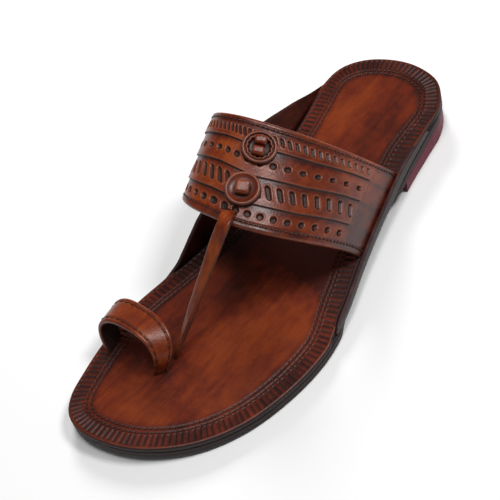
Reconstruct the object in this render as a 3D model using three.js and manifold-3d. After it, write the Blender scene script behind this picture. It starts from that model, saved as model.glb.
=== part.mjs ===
// A left kolhapuri sandal: leather sole, heel block, side ears, instep band with T-strap,
// toe loop and two knotted rosettes.
// Millimetres. Toe towards -Y, heel towards +Y, outer side of the foot towards +X, +Z up.
// The origin is on the floor, in the middle of the sandal's box.
import * as THREE from 'three';
import { mergeVertices } from 'three/addons/utils/BufferGeometryUtils.js';
import Module from 'manifold-3d';

const wasm = await Module();
wasm.setup();

// ---------------------------------------------------------------- driving sizes
const soleLength = 276;
const halfLength = soleLength / 2;
const outsoleThickness = 4.7;
const insoleThickness = 2.75;
const gap = 0.3;
// Slots in the insole are this much wider than what passes through them, on every side.
const slotRoom = 0.4;

// The sole lies flat on the floor between these two lines under the ball of the foot.
const flatFront = -64;
const flatBack = -50;
const toeSpring = 3.9;
const waistSlope = 0.0771;
const waistBend = 48;

const heelBreast = 70;
const heelInset = 0.4;
const waistTrim = 2.2;
const trimFront = -26;
const trimBack = 66;
const trimFade = 12;

const earThickness = 2.3;
// The room between an ear and the band, measured square to the band.
const earClearance = 0.5;
const bandThickness = 3.0;
const loopThickness = 2.6;
const strapThickness = 2.4;
// From the outermost line of the sole to the outer face of the band where it enters the sole.
const bandInset = earThickness + 2 * gap;
const insoleInset = bandInset + 0.4;

const rosetteRadius = 8.7;
const rosetteHeight = 3.2;

// ---------------------------------------------------------------- the sole's outline
// Outermost line of the sole, from toe to heel, with x on the inner and the outer side.
const tipWidth = 3;
const outline = [
  { along: -134.5, medial: -27.5, lateral: 5.0 },
  { along: -126, medial: -35.2, lateral: 21.4 },
  { along: -112, medial: -40.7, lateral: 36.4 },
  { along: -92, medial: -46.0, lateral: 48.0 },
  { along: -66, medial: -49.0, lateral: 54.6 },
  { along: -40, medial: -47.6, lateral: 55.8 },
  { along: -16, medial: -45.4, lateral: 51.0 },
  { along: 14, medial: -44.4, lateral: 41.0 },
  { along: 44, medial: -46.8, lateral: 32.2 },
  { along: 74, medial: -51.8, lateral: 24.6 },
  { along: 96, medial: -55.8, lateral: 20.4 },
  { along: 114, medial: -55.2, lateral: 16.8 },
  { along: 126, medial: -48.3, lateral: 10.5 },
  { along: 134, medial: -36.2, lateral: 1.5 },
];
const toeTip = -15.5;
const heelTip = -17.5;

function makeRim() {
  const lateral = outline.map((row) => new THREE.Vector3(row.lateral, row.along, 0));
  const medial = outline.map((row) => new THREE.Vector3(row.medial, row.along, 0));
  const toe = new THREE.Vector3(toeTip, -halfLength, 0);
  const heel = new THREE.Vector3(heelTip, halfLength, 0);
  const around = [toe, ...lateral, heel, ...medial.reverse()];
  return new THREE.CatmullRomCurve3(around, true, 'centripetal').getPoints(600);
}

const rim = makeRim();

// The outline's x at a station along the sole, on the side that sign names (+1 outer, -1 inner).
function edgeAt(along, sign) {
  let best = sign > 0 ? -Infinity : Infinity;
  for (let i = 0; i + 1 < rim.length; i += 1) {
    const [a, b] = [rim[i], rim[i + 1]];
    if ((a.y - along) * (b.y - along) > 0 || a.y === b.y) continue;
    const x = a.x + ((b.x - a.x) * (along - a.y)) / (b.y - a.y);
    best = sign > 0 ? Math.max(best, x) : Math.min(best, x);
  }
  return best;
}

// Height of the outsole's underside: toe spring, flat ball, then a steady rise to the heel.
function underside(along) {
  if (along < flatFront) {
    const reach = (flatFront - along) / (flatFront + halfLength);
    return toeSpring * reach * reach;
  }
  const back = Math.max(0, along - flatBack);
  if (back < waistBend) return (waistSlope * back * back) / (2 * waistBend);
  return waistSlope * (back - waistBend / 2);
}

const outsoleTop = (along) => underside(along) + outsoleThickness;
const insoleTop = (along) => outsoleTop(along) + gap + insoleThickness;

// 0 outside the two ends, 1 between them, with a smooth fade at each end.
function within(along, front, back, fade) {
  const rise = THREE.MathUtils.smoothstep(along, front, front + fade);
  return rise * (1 - THREE.MathUtils.smoothstep(along, back - fade, back));
}

// Straight interpolation down one column of a table that is sorted by its first column.
function column(rows, key, place, name) {
  let i = 0;
  while (i < rows.length - 2 && place > rows[i + 1][key]) i += 1;
  const [a, b] = [rows[i], rows[i + 1]];
  const t = THREE.MathUtils.clamp((place - a[key]) / (b[key] - a[key]), 0, 1);
  return a[name] + (b[name] - a[name]) * t;
}

// ---------------------------------------------------------------- closed bodies
// A closed body between two grids of points that have the same rows and columns.
function slab(front, back) {
  const rows = front.length;
  const cols = front[0].length;
  const positions = [...front.flat(), ...back.flat()].flatMap((p) => [p.x, p.y, p.z]);
  const at = (side, r, c) => side * rows * cols + r * cols + c;
  const index = [];
  const quad = (a, b, c, d) => index.push(a, b, c, a, c, d);
  for (let r = 0; r + 1 < rows; r += 1) {
    for (let c = 0; c + 1 < cols; c += 1) {
      quad(at(0, r, c), at(0, r, c + 1), at(0, r + 1, c + 1), at(0, r + 1, c));
      quad(at(1, r, c), at(1, r + 1, c), at(1, r + 1, c + 1), at(1, r, c + 1));
    }
    quad(at(0, r, 0), at(0, r + 1, 0), at(1, r + 1, 0), at(1, r, 0));
    quad(at(0, r, cols - 1), at(1, r, cols - 1), at(1, r + 1, cols - 1), at(0, r + 1, cols - 1));
  }
  for (let c = 0; c + 1 < cols; c += 1) {
    quad(at(0, 0, c), at(1, 0, c), at(1, 0, c + 1), at(0, 0, c + 1));
    quad(at(0, rows - 1, c), at(0, rows - 1, c + 1), at(1, rows - 1, c + 1), at(1, rows - 1, c));
  }
  const geometry = new THREE.BufferGeometry();
  geometry.setAttribute('position', new THREE.Float32BufferAttribute(positions, 3));
  geometry.setIndex(index);
  return toSolid(geometry);
}

// A three.js geometry as a manifold solid whose faces point outwards.
function toSolid(geometry) {
  const bare = geometry.clone();
  bare.deleteAttribute('normal');
  bare.deleteAttribute('uv');
  const merged = mergeVertices(bare, 1e-4);
  const vertProperties = new Float32Array(merged.attributes.position.array);
  const triVerts = new Uint32Array(merged.index.array);
  if (signedVolume(vertProperties, triVerts) < 0) triVerts.reverse();
  return new wasm.Manifold(new wasm.Mesh({ numProp: 3, vertProperties, triVerts }));
}

function signedVolume(positions, index) {
  const [a, b, c] = [new THREE.Vector3(), new THREE.Vector3(), new THREE.Vector3()];
  let volume = 0;
  for (let i = 0; i < index.length; i += 3) {
    a.fromArray(positions, 3 * index[i]);
    b.fromArray(positions, 3 * index[i + 1]);
    c.fromArray(positions, 3 * index[i + 2]);
    volume += a.dot(b.cross(c)) / 6;
  }
  return volume;
}

function toGeometry(solid) {
  const mesh = solid.getMesh();
  const geometry = new THREE.BufferGeometry();
  geometry.setAttribute('position', new THREE.BufferAttribute(mesh.vertProperties, 3));
  geometry.setIndex(new THREE.BufferAttribute(mesh.triVerts, 1));
  geometry.computeVertexNormals();
  return geometry;
}

// ---------------------------------------------------------------- sole layers
// Stations from front to back, close together at the round ends of the sole, with more at breaks.
function stations(front, back, count, breaks) {
  const list = [front, back, ...breaks];
  for (let i = 0; i <= count; i += 1) {
    const along = -halfLength * Math.cos((Math.PI * i) / count);
    const free = breaks.every((at) => Math.abs(at - along) > 0.5);
    if (free && along > front && along < back) list.push(along);
  }
  return list.sort((a, b) => a - b);
}

// One layer of the sole between two height functions, drawn in from the outline on each side.
function soleLayer({ front, back, count, breaks, bottom, top, inset }) {
  const grid = (height) => stations(front, back, count, breaks).map((along) => {
    const tip = along <= -halfLength ? toeTip : heelTip;
    const ends = Math.abs(along) >= halfLength;
    const lateral = ends ? tip + tipWidth / 2 : edgeAt(along, 1) - inset(along, 1);
    const medial = ends ? tip - tipWidth / 2 : edgeAt(along, -1) + inset(along, -1);
    return [medial, lateral].map((x) => new THREE.Vector3(x, along, height(along)));
  });
  return slab(grid(top), grid(bottom));
}

// ---------------------------------------------------------------- arches over the foot
// A point on a leather arch that stands on the sole. angle is 0 at the outer foot of the arch,
// 90 degrees at its crown and 180 at its inner foot. sweep moves the crown along the sandal, and
// tuck draws a foot in under the swell of the side.
function archPoint(arch, angle) {
  const c = Math.cos(angle);
  const s = Math.max(0, Math.sin(angle));
  const lateral = arch.lateralX + arch.lateralTuck;
  const medial = arch.medialX - arch.medialTuck;
  const reach = Math.sign(c) * Math.abs(c) ** (2 / arch.square);
  const tuck = (c > 0 ? -arch.lateralTuck : arch.medialTuck) * (1 - s) ** 2;
  const across = (1 - c) / 2;
  return new THREE.Vector3(
    (lateral + medial) / 2 + ((lateral - medial) / 2) * reach + tuck,
    arch.lateralY + (arch.medialY - arch.lateralY) * across + arch.sweep * s,
    arch.lateralZ + (arch.medialZ - arch.lateralZ) * across + arch.rise * s ** (2 / arch.square),
  );
}

// The same point moved out along the surface's own normal. The foot of an arch stands just clear
// of the outsole's top.
function archOffset(archAt, place, angle, offset) {
  const step = 0.01;
  const a = THREE.MathUtils.clamp(angle, 2 * step, Math.PI - 2 * step);
  const alongBand = archPoint(archAt(place + step), a).sub(archPoint(archAt(place - step), a));
  const aroundFoot = archPoint(archAt(place), a + step).sub(archPoint(archAt(place), a - step));
  const normal = alongBand.cross(aroundFoot).normalize();
  const point = archPoint(archAt(place), angle).addScaledVector(normal, offset);
  const foot = outsoleTop(point.y) + gap;
  const atFoot = Math.sin(angle) < 1e-6;
  point.z = atFoot ? foot : Math.max(point.z, foot + gap);
  return point;
}

// A wall between two offsets of an arch's surface. angles(place) gives the two ends of the sweep.
function archWall(archAt, { front, back, places, steps, inner, outer, angles }) {
  const grid = (offset) => Array.from({ length: steps + 1 }, (_, i) => (
    Array.from({ length: places + 1 }, (_unused, j) => {
      const place = front + ((back - front) * j) / places;
      const [from, to] = angles(place);
      return archOffset(archAt, place, from + ((to - from) * i) / steps, offset);
    })
  ));
  return slab(grid(outer), grid(inner));
}

// The last under the band and the ears. The band's front edge is at place 0, its rear edge at 1.
const lastSections = [
  { place: -1.4, rise: 40, square: 2.4, tuck: 4, sweep: -45 },
  { place: 0, rise: 56.5, square: 2.5, tuck: 9, sweep: -45 },
  { place: 1, rise: 70.2, square: 1.95, tuck: 24.4, sweep: -46.9 },
  { place: 2.3, rise: 58, square: 2.2, tuck: 5, sweep: -46.9 },
];
const bandFrontFoot = { lateral: 15.6, medial: 9.6 };
const bandRearFoot = { lateral: 70.8, medial: 55.1 };

function bandAt(place) {
  const lateralY = THREE.MathUtils.lerp(bandFrontFoot.lateral, bandRearFoot.lateral, place);
  const medialY = THREE.MathUtils.lerp(bandFrontFoot.medial, bandRearFoot.medial, place);
  return {
    lateralX: edgeAt(lateralY, 1) - bandInset,
    medialX: edgeAt(medialY, -1) + bandInset,
    lateralY,
    medialY,
    lateralZ: outsoleTop(lateralY) + gap,
    medialZ: outsoleTop(medialY) + gap,
    lateralTuck: 0,
    medialTuck: column(lastSections, 'place', place, 'tuck'),
    rise: column(lastSections, 'place', place, 'rise'),
    square: column(lastSections, 'place', place, 'square'),
    sweep: column(lastSections, 'place', place, 'sweep'),
  };
}

const fullArch = () => [0, Math.PI];

// Height of each ear above the outsole, by its place along the last.
const earMedialTop = [
  { place: -1.17, height: 0.8 },
  { place: -0.95, height: 3.8 },
  { place: -0.76, height: 7.6 },
  { place: -0.45, height: 13.8 },
  { place: -0.17, height: 18.2 },
  { place: 0.4, height: 22 },
  { place: 0.95, height: 20.5 },
  { place: 1.31, height: 16.4 },
  { place: 1.67, height: 10.3 },
  { place: 1.92, height: 4.4 },
  { place: 2.12, height: 0.8 },
];
const earLateralTop = [
  { place: -0.78, height: 0.8 },
  { place: -0.55, height: 3.2 },
  { place: 0.2, height: 3.9 },
  { place: 1, height: 3.9 },
  { place: 1.28, height: 3.3 },
  { place: 1.54, height: 0.8 },
];

function ear(table, sign) {
  const angles = (place) => {
    const { rise, square } = bandAt(place);
    const height = column(table, 'place', place, 'height');
    const top = Math.asin((height / rise) ** (square / 2));
    return sign > 0 ? [0, top] : [Math.PI - top, Math.PI];
  };
  const front = table[0].place;
  const back = table[table.length - 1].place;
  const outer = gap + earThickness;
  const inner = earClearance;
  return archWall(bandAt, { front, back, places: 48, steps: 6, inner, outer, angles });
}

// ---------------------------------------------------------------- toe loop
const loopSections = [
  { place: 0, square: 2.48, rise: 24.8, sweep: 7, lateralX: -8.8, medialX: -38.5,
    lateralY: -95, medialY: -97.1, lateralTuck: 6, medialTuck: 11 },
  { place: 1, square: 2.8, rise: 23, sweep: 14.4, lateralX: -4.6, medialX: -43,
    lateralY: -90, medialY: -85, lateralTuck: 7, medialTuck: 10 },
];

function loopAt(place) {
  const arch = {};
  for (const name of Object.keys(loopSections[0])) {
    const [front, rear] = loopSections;
    arch[name] = THREE.MathUtils.lerp(front[name], rear[name], place);
  }
  arch.lateralZ = outsoleTop(arch.lateralY) + gap;
  arch.medialZ = outsoleTop(arch.medialY) + gap;
  return arch;
}

// ---------------------------------------------------------------- T-strap
// The thong starts in its slit behind the band's front edge, runs straight down from that edge and
// turns edge-on before it goes down between the toes. turn is in degrees about the strap's own line.
const strapAngle = THREE.MathUtils.degToRad(82.3);
const strapSlit = { place: 0.13, depth: -1.2 };
const strapLip = { place: -0.02, depth: 0.9 };
const strapFolds = [
  { x: 1.1, y: -39.9, z: 56.4, width: 7.2, turn: 2 },
  { x: -0.6, y: -48.3, z: 46.2, width: 6.6, turn: 8 },
  { x: -2.2, y: -56.3, z: 36.5, width: 6.2, turn: 18 },
  { x: -3.8, y: -64.3, z: 26.8, width: 6, turn: 32 },
  { x: -5.4, y: -71.8, z: 17.6, width: 5.7, turn: 52 },
  { x: -6.6, y: -77.2, z: 10.8, width: 5.4, turn: 70 },
  { x: -7.1, y: -79.2, z: 6.6, width: 5.2, turn: 78 },
];

function strap() {
  const slit = archOffset(bandAt, strapSlit.place, strapAngle, strapSlit.depth);
  const lip = archOffset(bandAt, strapLip.place, strapAngle, strapLip.depth);
  const line = [slit, lip, ...strapFolds.map((fold) => new THREE.Vector3(fold.x, fold.y, fold.z))];
  const curve = new THREE.CatmullRomCurve3(line, false, 'centripetal');
  const folds = [strapFolds[0], strapFolds[0], ...strapFolds];
  const steps = 40;
  const front = [];
  const back = [];
  for (let i = 0; i <= steps; i += 1) {
    const t = i / steps;
    const spot = t * (line.length - 1);
    const k = Math.min(Math.floor(spot), line.length - 2);
    const width = THREE.MathUtils.lerp(folds[k].width, folds[k + 1].width, spot - k);
    const turn = THREE.MathUtils.lerp(folds[k].turn, folds[k + 1].turn, spot - k);
    const tangent = curve.getTangent(t);
    const across = new THREE.Vector3(1, 0, 0).addScaledVector(tangent, -tangent.x).normalize();
    across.applyAxisAngle(tangent, THREE.MathUtils.degToRad(turn));
    const outward = across.clone().cross(tangent).normalize();
    const centre = curve.getPoint(t);
    const half = width / 2;
    const thick = strapThickness / 2;
    const edges = (side) => [-half, half].map((x) => (
      centre.clone().addScaledVector(across, x).addScaledVector(outward, side * thick)
    ));
    front.push(edges(1));
    back.push(edges(-1));
  }
  return slab(front, back);
}

// ---------------------------------------------------------------- rosettes and knots
// Profile of a leather disc, from its axis out: a low middle, a round raised rim, a straight side.
const rosetteProfile = [
  { radius: 0, height: -4 },
  { radius: rosetteRadius, height: -4 },
  { radius: rosetteRadius, height: rosetteHeight - 0.9 },
  { radius: rosetteRadius - 0.5, height: rosetteHeight - 0.2 },
  { radius: rosetteRadius - 1.4, height: rosetteHeight },
  { radius: rosetteRadius - 2.3, height: rosetteHeight - 0.3 },
  { radius: rosetteRadius - 2.9, height: rosetteHeight - 1.1 },
  { radius: 0, height: rosetteHeight - 1.1 },
];
const rosettes = {
  rear: { place: 0.731, angle: 73.5 },
  front: { place: 0.325, angle: 76.9 },
};
const knotBase = rosetteHeight - 1.1 + gap;

// A matrix that stands a piece on the band, with its own +Z along the band's normal there and its
// own +X along the band from the front edge to the rear edge.
function seat({ place, angle }) {
  const a = THREE.MathUtils.degToRad(angle);
  const origin = archOffset(bandAt, place, a, 0);
  const up = archOffset(bandAt, place, a, 1).sub(origin).normalize();
  const rearward = archOffset(bandAt, place + 0.02, a, 0).sub(origin);
  rearward.addScaledVector(up, -rearward.dot(up)).normalize();
  const side = up.clone().cross(rearward);
  return new THREE.Matrix4().makeBasis(rearward, side, up).setPosition(origin);
}

function rosette(spot, bandForm) {
  const points = rosetteProfile.map((row) => new THREE.Vector2(row.radius, row.height));
  const disc = new THREE.LatheGeometry(points, 36);
  disc.rotateX(Math.PI / 2);
  disc.applyMatrix4(seat(spot));
  return toSolid(disc).subtract(bandForm);
}

// A thong rolled into a short bar: a rounded outline, extruded along the roll.
function roll({ length, breadth, height, round, offset }) {
  const shape = new THREE.Shape();
  const half = breadth / 2;
  shape.moveTo(-half, 0);
  shape.lineTo(half, 0);
  shape.lineTo(half, height - round);
  shape.absarc(half - round, height - round, round, 0, Math.PI / 2, false);
  shape.absarc(-half + round, height - round, round, Math.PI / 2, Math.PI, false);
  shape.lineTo(-half, 0);
  const bar = new THREE.ExtrudeGeometry(shape, {
    depth: length, bevelEnabled: false, curveSegments: 5,
  });
  bar.translate(0, 0, -length / 2);
  bar.rotateX(Math.PI / 2);
  bar.translate(offset, 0, knotBase);
  return bar;
}

const rearKnot = { length: 5.8, breadth: 4.4, height: 4, round: 1.5 };
const rearKnotPitch = 5.6;
const frontKnot = { length: 7.2, breadth: 6.6, height: 3.8, round: 1.6, offset: 0 };
const knotBridge = { length: 4.2, breadth: 3.2, height: 1.6, round: 0.6, offset: 0 };

function knot(bars, spot) {
  const solids = bars.map((bar) => toSolid(roll(bar).applyMatrix4(seat(spot))));
  return solids.reduce((whole, solid) => whole.add(solid));
}

// ---------------------------------------------------------------- the pieces
const outsole = soleLayer({
  front: -halfLength,
  back: halfLength,
  count: 64,
  breaks: [flatFront, flatBack, trimFront, trimBack],
  bottom: underside,
  top: outsoleTop,
  inset: (along) => waistTrim * within(along, trimFront, trimBack, trimFade),
});

const heelBlock = soleLayer({
  front: heelBreast,
  back: halfLength - heelInset,
  count: 64,
  breaks: [],
  bottom: () => 0,
  top: (along) => underside(along) - gap,
  inset: () => heelInset,
});

// The insole is narrower where the ears stand beside it, with a short step at each end.
const earZones = {
  lateral: { front: -31, back: 107, fade: 2 },
  medial: { front: -48, back: 108, fade: 2 },
};
const earBreaks = Object.values(earZones).flatMap(({ front, back, fade }) => (
  [front, front + fade, back - fade, back]
));
function earRecess(along, sign) {
  const { front, back, fade } = sign > 0 ? earZones.lateral : earZones.medial;
  return insoleInset * within(along, front, back, fade);
}

const bandRange = { front: 0, back: 1, places: 8, steps: 52, angles: fullArch };
const loopRange = { front: 0, back: 1, places: 3, steps: 30, angles: fullArch };

const band = archWall(bandAt, { ...bandRange, inner: -bandThickness, outer: 0 });
const upper = band.add(strap());
// A thick copy of the band that rises only to 0.3 mm above its outer face.
const bandForm = archWall(bandAt, {
  ...bandRange, front: -0.1, back: 1.1, places: 7, inner: -2 * bandThickness, outer: gap,
});
const loop = archWall(loopAt, { ...loopRange, inner: -loopThickness, outer: 0 });

// The room that a slot needs: the piece itself, moved a little every way round and let down
// through the insole.
function slotFor(solid) {
  const copies = [];
  for (let turn = 0; turn < 8; turn += 1) {
    const [x, y] = [Math.cos, Math.sin].map((wave) => slotRoom * wave((turn * Math.PI) / 4));
    for (const down of [0, slotRoom, insoleThickness]) copies.push(solid.translate([x, y, -down]));
  }
  return copies.reduce((whole, copy) => whole.add(copy));
}

// The one large body left after a cut, without the slivers beside it.
function mainBody(solid) {
  return solid.decompose().reduce((a, b) => (a.volume() > b.volume() ? a : b));
}

const insole = mainBody(soleLayer({
  front: -halfLength,
  back: halfLength,
  count: 72,
  breaks: earBreaks,
  bottom: (along) => outsoleTop(along) + gap,
  top: insoleTop,
  inset: earRecess,
})
  .subtract(slotFor(upper))
  .subtract(slotFor(loop)));

// ---------------------------------------------------------------- colours and scene graph
const leather = new THREE.MeshStandardMaterial({ color: 0x6e3728, roughness: 0.42, metalness: 0 });
const soleEdge = new THREE.MeshStandardMaterial({ color: 0x2a1a18, roughness: 0.6, metalness: 0 });
const wine = new THREE.MeshStandardMaterial({ color: 0x5a1a30, roughness: 0.5, metalness: 0 });
const tan = new THREE.MeshStandardMaterial({ color: 0x7a3a24, roughness: 0.4, metalness: 0 });

const pieces = [
  { name: 'outsole', solid: outsole, material: soleEdge },
  { name: 'heel_block', solid: heelBlock, material: wine },
  { name: 'insole', solid: insole, material: leather },
  { name: 'ear_lateral', solid: ear(earLateralTop, 1), material: leather },
  { name: 'ear_medial', solid: ear(earMedialTop, -1), material: leather },
  { name: 'upper', solid: upper, material: tan },
  { name: 'toe_loop', solid: loop, material: tan },
  { name: 'rosette_rear', solid: rosette(rosettes.rear, bandForm), material: leather },
  { name: 'rosette_front', solid: rosette(rosettes.front, bandForm), material: leather },
  {
    name: 'knot_rear',
    solid: knot([
      { ...rearKnot, offset: -rearKnotPitch / 2 },
      { ...rearKnot, offset: rearKnotPitch / 2 },
      knotBridge,
    ], rosettes.rear),
    material: tan,
  },
  { name: 'knot_front', solid: knot([frontKnot], rosettes.front), material: tan },
];

const sandal = new THREE.Group();
for (const { name, solid, material } of pieces) {
  const mesh = new THREE.Mesh(toGeometry(solid), material);
  mesh.name = name;
  sandal.add(mesh);
}

export default sandal;
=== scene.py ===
"""Looks of a left kolhapuri sandal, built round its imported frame. Sizes are in millimetres."""
import math

import bpy
import numpy as np
from mathutils import Matrix, Vector
from mathutils.geometry import delaunay_2d_cdt


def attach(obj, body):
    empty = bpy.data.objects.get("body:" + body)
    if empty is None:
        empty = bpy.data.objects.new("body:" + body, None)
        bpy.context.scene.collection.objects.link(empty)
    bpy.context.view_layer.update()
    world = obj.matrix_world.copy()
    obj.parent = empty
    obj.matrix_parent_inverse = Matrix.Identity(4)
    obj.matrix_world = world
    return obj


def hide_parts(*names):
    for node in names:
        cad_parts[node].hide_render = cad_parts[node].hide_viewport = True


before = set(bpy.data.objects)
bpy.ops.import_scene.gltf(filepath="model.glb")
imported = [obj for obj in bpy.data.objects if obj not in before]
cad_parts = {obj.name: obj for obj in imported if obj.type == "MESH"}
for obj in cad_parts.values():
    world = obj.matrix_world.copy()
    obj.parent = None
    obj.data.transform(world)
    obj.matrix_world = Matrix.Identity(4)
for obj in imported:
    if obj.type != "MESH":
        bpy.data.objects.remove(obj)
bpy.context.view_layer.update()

# ---------------------------------------------------------------- insole
# The insole is one cut of vegetable-tanned leather, dyed red-brown, waxed and burnished. Its border
# is struck with a row of radial strokes, and two rows of slanting stitches hold it to the outsole.
MM = 0.001
half_length = 138.0
outsole_thickness = 4.7
insole_thickness = 2.75
gap = 0.3
toe_tip = -15.5
heel_tip = -17.5
# Outermost line of the sole: along, inner side, outer side.
outline = [
    (-134.5, -27.5, 5.0), (-126, -35.2, 21.4), (-112, -40.7, 36.4), (-92, -46.0, 48.0),
    (-66, -49.0, 54.6), (-40, -47.6, 55.8), (-16, -45.4, 51.0), (14, -44.4, 41.0),
    (44, -46.8, 32.2), (74, -51.8, 24.6), (96, -55.8, 20.4), (114, -55.2, 16.8),
    (126, -48.3, 10.5), (134, -36.2, 1.5),
]


def smooth_curve(points, closed, count):
    """A centripetal curve through the points, at count + 1 even steps of its parameter."""
    points = np.array(points, float)
    last = len(points) - 1
    if closed:
        padded = np.vstack([points[-1], points, points[:2]])
    else:
        ends = 2 * points[0] - points[1], 2 * points[-1] - points[-2]
        padded = np.vstack([ends[0], points, ends[1]])
    spot = np.linspace(0, last + 1 if closed else last, count + 1)
    i = np.minimum(spot.astype(int), len(padded) - 4)
    t = (spot - i)[:, None]
    a, b, c, d = (padded[i + k] for k in range(4))
    ab, bc, cd = (
        np.maximum(np.linalg.norm(q - p, axis=1), 1e-8)[:, None] ** 0.5
        for p, q in ((a, b), (b, c), (c, d))
    )
    start = ((b - a) / ab - (c - a) / (ab + bc) + (c - b) / bc) * bc
    end = ((c - b) / bc - (d - b) / (bc + cd) + (d - c) / cd) * bc
    return (
        b + start * t + (3 * (c - b) - 2 * start - end) * t**2
        + (2 * (b - c) + start + end) * t**3
    )


def make_rim():
    lateral = [(row[2], row[0]) for row in outline]
    medial = [(row[1], row[0]) for row in reversed(outline)]
    around = [(toe_tip, -half_length), *lateral, (heel_tip, half_length), *medial]
    return smooth_curve(around, True, 2400)


rim = make_rim()
heel_index = int(rim[:, 1].argmax())


def edge_at(along, sign):
    """The sole's x at a station along it, on the outer side (+1) or the inner side (-1)."""
    side = rim[: heel_index + 1] if sign > 0 else rim[heel_index:][::-1]
    return np.interp(along, side[:, 1], side[:, 0])


def underside(along):
    """Height of the outsole's underside: toe spring, flat ball, and the rise to the heel."""
    along = np.asarray(along, float)
    toe = 3.9 * (np.maximum(-64 - along, 0) / 74) ** 2
    back = np.maximum(along + 50, 0)
    slope, bend = 0.0771, 48
    return toe + np.where(back < bend, slope * back**2 / (2 * bend), slope * (back - bend / 2))


def outsole_top(along):
    return underside(along) + outsole_thickness


def insole_top(along):
    return outsole_top(along) + gap + insole_thickness


def ease(value, start, end):
    """0 before start, 1 after end and smooth between; start may be above end."""
    t = np.clip((np.asarray(value, float) - start) / (end - start), 0, 1)
    return t * t * (3 - 2 * t)


def within(value, front, back, fade):
    return ease(value, front, front + fade) * (1 - ease(value, back - fade, back))


def sole_ring(count):
    """Even points round the sole, their inward directions, and +1 on the outer side or -1."""
    steps = np.r_[0, np.cumsum(np.linalg.norm(np.diff(rim, axis=0), axis=1))]
    spots = np.linspace(0, steps[-1], count, endpoint=False)
    points = np.stack([np.interp(spots, steps, rim[:, k]) for k in (0, 1)], 1)
    ahead = np.roll(points, -1, 0) - np.roll(points, 1, 0)
    ahead /= np.linalg.norm(ahead, axis=1)[:, None]
    inward = np.stack([-ahead[:, 1], ahead[:, 0]], 1)
    side = np.where(spots < steps[heel_index], 1.0, -1.0)
    return points, inward, side, steps[-1]


def make_piece(name, points, faces, material, **attributes):
    """A mesh object from points in millimetres, with its faces turned outwards."""
    points = np.asarray(points, float) * MM
    volume = 0.0
    for size in sorted({len(f) for f in faces}):
        ring = points[np.array([f for f in faces if len(f) == size])]
        for k in range(1, size - 1):
            cross = np.cross(ring[:, k], ring[:, k + 1])
            volume += float((ring[:, 0] * cross).sum())
    if volume < 0:
        faces = [tuple(reversed(f)) for f in faces]
    mesh = bpy.data.meshes.new(name)
    mesh.from_pydata(points.tolist(), [], [tuple(int(i) for i in f) for f in faces])
    for key, values in attributes.items():
        layer = mesh.attributes.new(key, "FLOAT", "POINT")
        layer.data.foreach_set("value", np.asarray(values, np.float32).ravel())
    mesh.polygons.foreach_set("use_smooth", [True] * len(mesh.polygons))
    mesh.materials.append(material)
    mesh.update()
    piece = bpy.data.objects.new(name, mesh)
    bpy.context.scene.collection.objects.link(piece)
    return piece


def rings_to_quads(rows, cols, first=0):
    """Quads between successive closed rings of points."""
    at = first + np.arange(rows * cols).reshape(rows, cols)
    turned = np.roll(at, -1, 1)
    quads = np.stack([at[:-1], turned[:-1], turned[1:], at[1:]], -1)
    return quads.reshape(-1, 4).tolist()


def fill(border, spacing):
    """Triangles across a closed flat outline, with inner points on a grid of that spacing."""
    low, high = border.min(0), border.max(0)
    xs = np.arange(low[0] + spacing / 2, high[0], spacing)
    ys = np.arange(low[1] + spacing / 2, high[1], spacing)
    grid = np.stack(np.meshgrid(xs, ys), -1).reshape(-1, 2)
    near = np.sqrt(((grid[:, None] - border[None, ::4]) ** 2).sum(-1)).min(1)
    points = np.vstack([border, grid[near > spacing * 0.6]])
    result = delaunay_2d_cdt(
        [tuple(p) for p in points.tolist()], [], [list(range(len(border)))], 1, 1e-5
    )
    flat, triangles = np.array([tuple(p) for p in result[0]]), result[2]
    return flat, [list(t) for t in triangles]


def linear(code):
    """An sRGB hex colour as linear red, green, blue and alpha."""
    parts = [int(code[i : i + 2], 16) / 255 for i in (1, 3, 5)]
    return [c / 12.92 if c <= 0.04045 else ((c + 0.055) / 1.055) ** 2.4 for c in parts] + [1.0]


def add(tree, kind, settings=None, links=None):
    """Adds a node. Settings are its properties or inputs, and links feed its inputs."""
    made = tree.nodes.new(kind)
    for key, value in (settings or {}).items():
        if isinstance(key, str) and hasattr(made, key):
            setattr(made, key, value)
        else:
            made.inputs[key].default_value = value
    for key, source in (links or {}).items():
        tree.links.new(source, made.inputs[key])
    return made


def blank_material(name):
    """A new material with an empty tree, and the object's own coordinates as its pattern's place."""
    material = bpy.data.materials.new(name)
    material.use_nodes = True
    tree = material.node_tree
    tree.nodes.clear()
    return material, tree, add(tree, "ShaderNodeTexCoord").outputs["Object"]


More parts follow.
